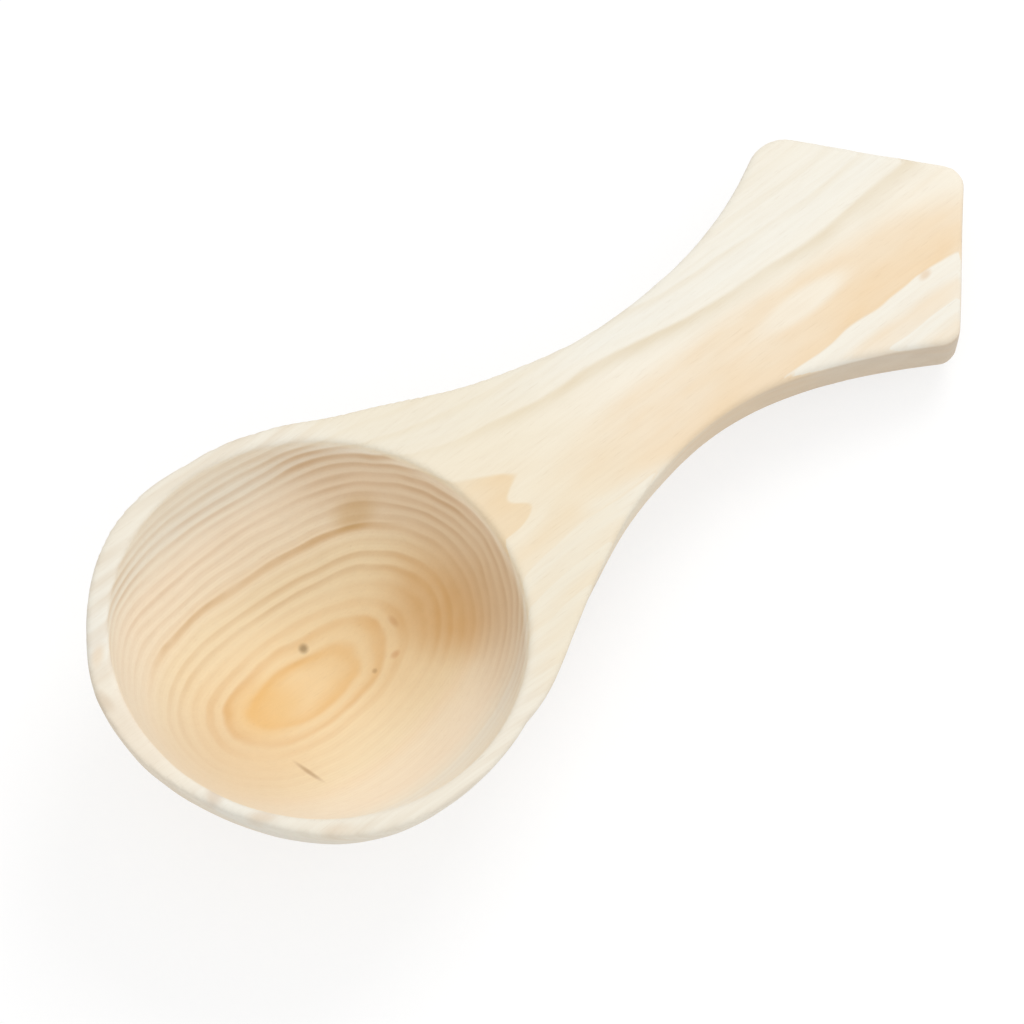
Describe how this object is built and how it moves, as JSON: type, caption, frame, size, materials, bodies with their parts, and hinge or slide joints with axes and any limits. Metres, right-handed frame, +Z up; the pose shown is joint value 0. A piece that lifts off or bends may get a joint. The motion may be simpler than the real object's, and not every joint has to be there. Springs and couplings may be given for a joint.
{
  "type": "measuring spoon",
  "caption": "Carved wooden measuring scoop with a round, deep bowl and a short flat handle that narrows to a neck and ends in a gabled fishtail.",
  "frame": {"origin": "on the table the spoon rests on, under the middle of its whole length and width, in the rest pose on the underside of the bowl and the tip of the handle", "axes": "+X along the handle, from the bowl towards the handle's point; +Z up, out of the open bowl; +Y to the left of someone who looks along +X"},
  "size_m": [0.1375, 0.059, 0.0289],
  "materials": {
    "wood": "bare pale wood, sanded fine, with a warm brown grain"
  },
  "bodies": {
    "root": {"carved_scoop": "wood"}
  },
  "joints": []
}
